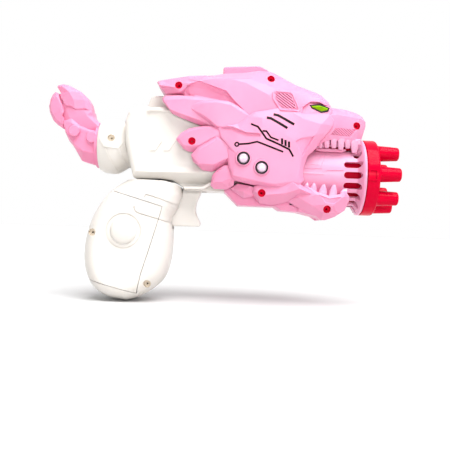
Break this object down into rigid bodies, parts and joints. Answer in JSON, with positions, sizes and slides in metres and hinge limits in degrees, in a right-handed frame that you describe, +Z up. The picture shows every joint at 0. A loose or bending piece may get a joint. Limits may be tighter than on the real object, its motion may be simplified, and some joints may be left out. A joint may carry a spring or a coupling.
{
  "type": "toy bubble gun",
  "caption": "Hand-held toy bubble gun shaped as an armoured beast's head: squeezing the trigger runs a fan that blows air through a ring of nozzle tubes.",
  "frame": {"origin": "below the middle of the overall length, on the gun's mid-plane, at the lowest point of the pistol grip", "axes": "+X out of the nozzle along the barrel, +Z up, -Y towards the gun's left-hand side"},
  "size_m": [0.248, 0.0728, 0.1697],
  "materials": {
    "pink_shell": "satin moulded pink",
    "pink_gloss": "glossy moulded pink",
    "claw_pink": "satin deeper pink",
    "white_shell": "satin warm white",
    "red_gloss": "glossy red",
    "red_matte": "moulded red",
    "black_plastic": "moulded dark grey",
    "eye_green": "painted green",
    "pearl_lens": "milky translucent",
    "board_green": "printed circuit board",
    "motor_steel": "rolled can",
    "bright_steel": "plated",
    "cell_sleeve": "printed sleeve with no lettering",
    "wire_red": "insulation",
    "wire_black": "insulation"
  },
  "bodies": {
    "root": {"head_left": "pink_shell", "head_right": "pink_shell", "tail_claw": "claw_pink", "barrel": "pink_gloss", "body_left": "white_shell", "body_right": "white_shell", "fan_duct": "red_gloss", "mouth_liner": "red_gloss", "switch_body": "black_plastic", "motor_mount": "white_shell", "motor": "motor_steel", "trigger_pin": "bright_steel", "trigger_spring": "bright_steel", "battery_1": "cell_sleeve", "battery_2": "cell_sleeve", "battery_3": "cell_sleeve", "battery_4": "cell_sleeve", "battery_contact_upper": "bright_steel", "battery_contact_lower": "bright_steel", "wire_battery_switch": "wire_red", "wire_switch_motor": "wire_red", "wire_battery_motor": "wire_black", "eye_left": "eye_green", "led_board_left": "board_green", "lamp_bezel_rear_left": "black_plastic", "lamp_lens_rear_left": "pearl_lens", "lamp_bezel_front_left": "black_plastic", "lamp_lens_front_left": "pearl_lens", "eye_right": "eye_green", "led_board_right": "board_green", "lamp_bezel_rear_right": "black_plastic", "lamp_lens_rear_right": "pearl_lens", "lamp_bezel_front_right": "black_plastic", "lamp_lens_front_right": "pearl_lens", "screw_blade": "bright_steel", "screw_crown": "bright_steel", "screw_snout": "bright_steel", "screw_mane": "bright_steel", "screw_cheek": "bright_steel", "screw_jaw": "bright_steel", "screw_tail": "bright_steel", "screw_grip": "bright_steel"},
    "trigger": {"trigger": "white_shell"},
    "plunger": {"switch_plunger": "red_matte"},
    "rotor": {"fan_impeller": "red_matte", "motor_shaft": "bright_steel"},
    "nozzle": {"nozzle_head": "red_gloss"},
    "cover": {"battery_cover": "white_shell", "screw_cover": "bright_steel"}
  },
  "joints": [
    {"name": "trigger_pull", "type": "hinge", "parent": "root", "child": "trigger", "pos_m": [-0.01945, 0, 0.0839], "axis": [0, 1, 0], "range_deg": [0, 9], "stiffness_Nm_per_rad": 0.4, "springref_deg": -5.73, "deforming": ["trigger_spring"]},
    {"name": "plunger_push", "type": "slide", "parent": "root", "child": "plunger", "axis": [1, 0, 0], "range_m": [0, 0.0019]},
    {"name": "fan_spin", "type": "hinge", "parent": "root", "child": "rotor", "pos_m": [0.09055, 0, 0.0923], "axis": [1, 0, 0], "continuous": true},
    {"name": "nozzle_pull", "type": "slide", "parent": "root", "child": "nozzle", "axis": [1, 0, 0], "range_m": [0, 0.02]},
    {"name": "cover_lift", "type": "slide", "parent": "root", "child": "cover", "axis": [0, -1, 0], "range_m": [0, 0.03]}
  ],
  "couplings": [
    {"joint": "plunger_push", "follows": "trigger_pull", "m_per_rad": 0.012}
  ]
}
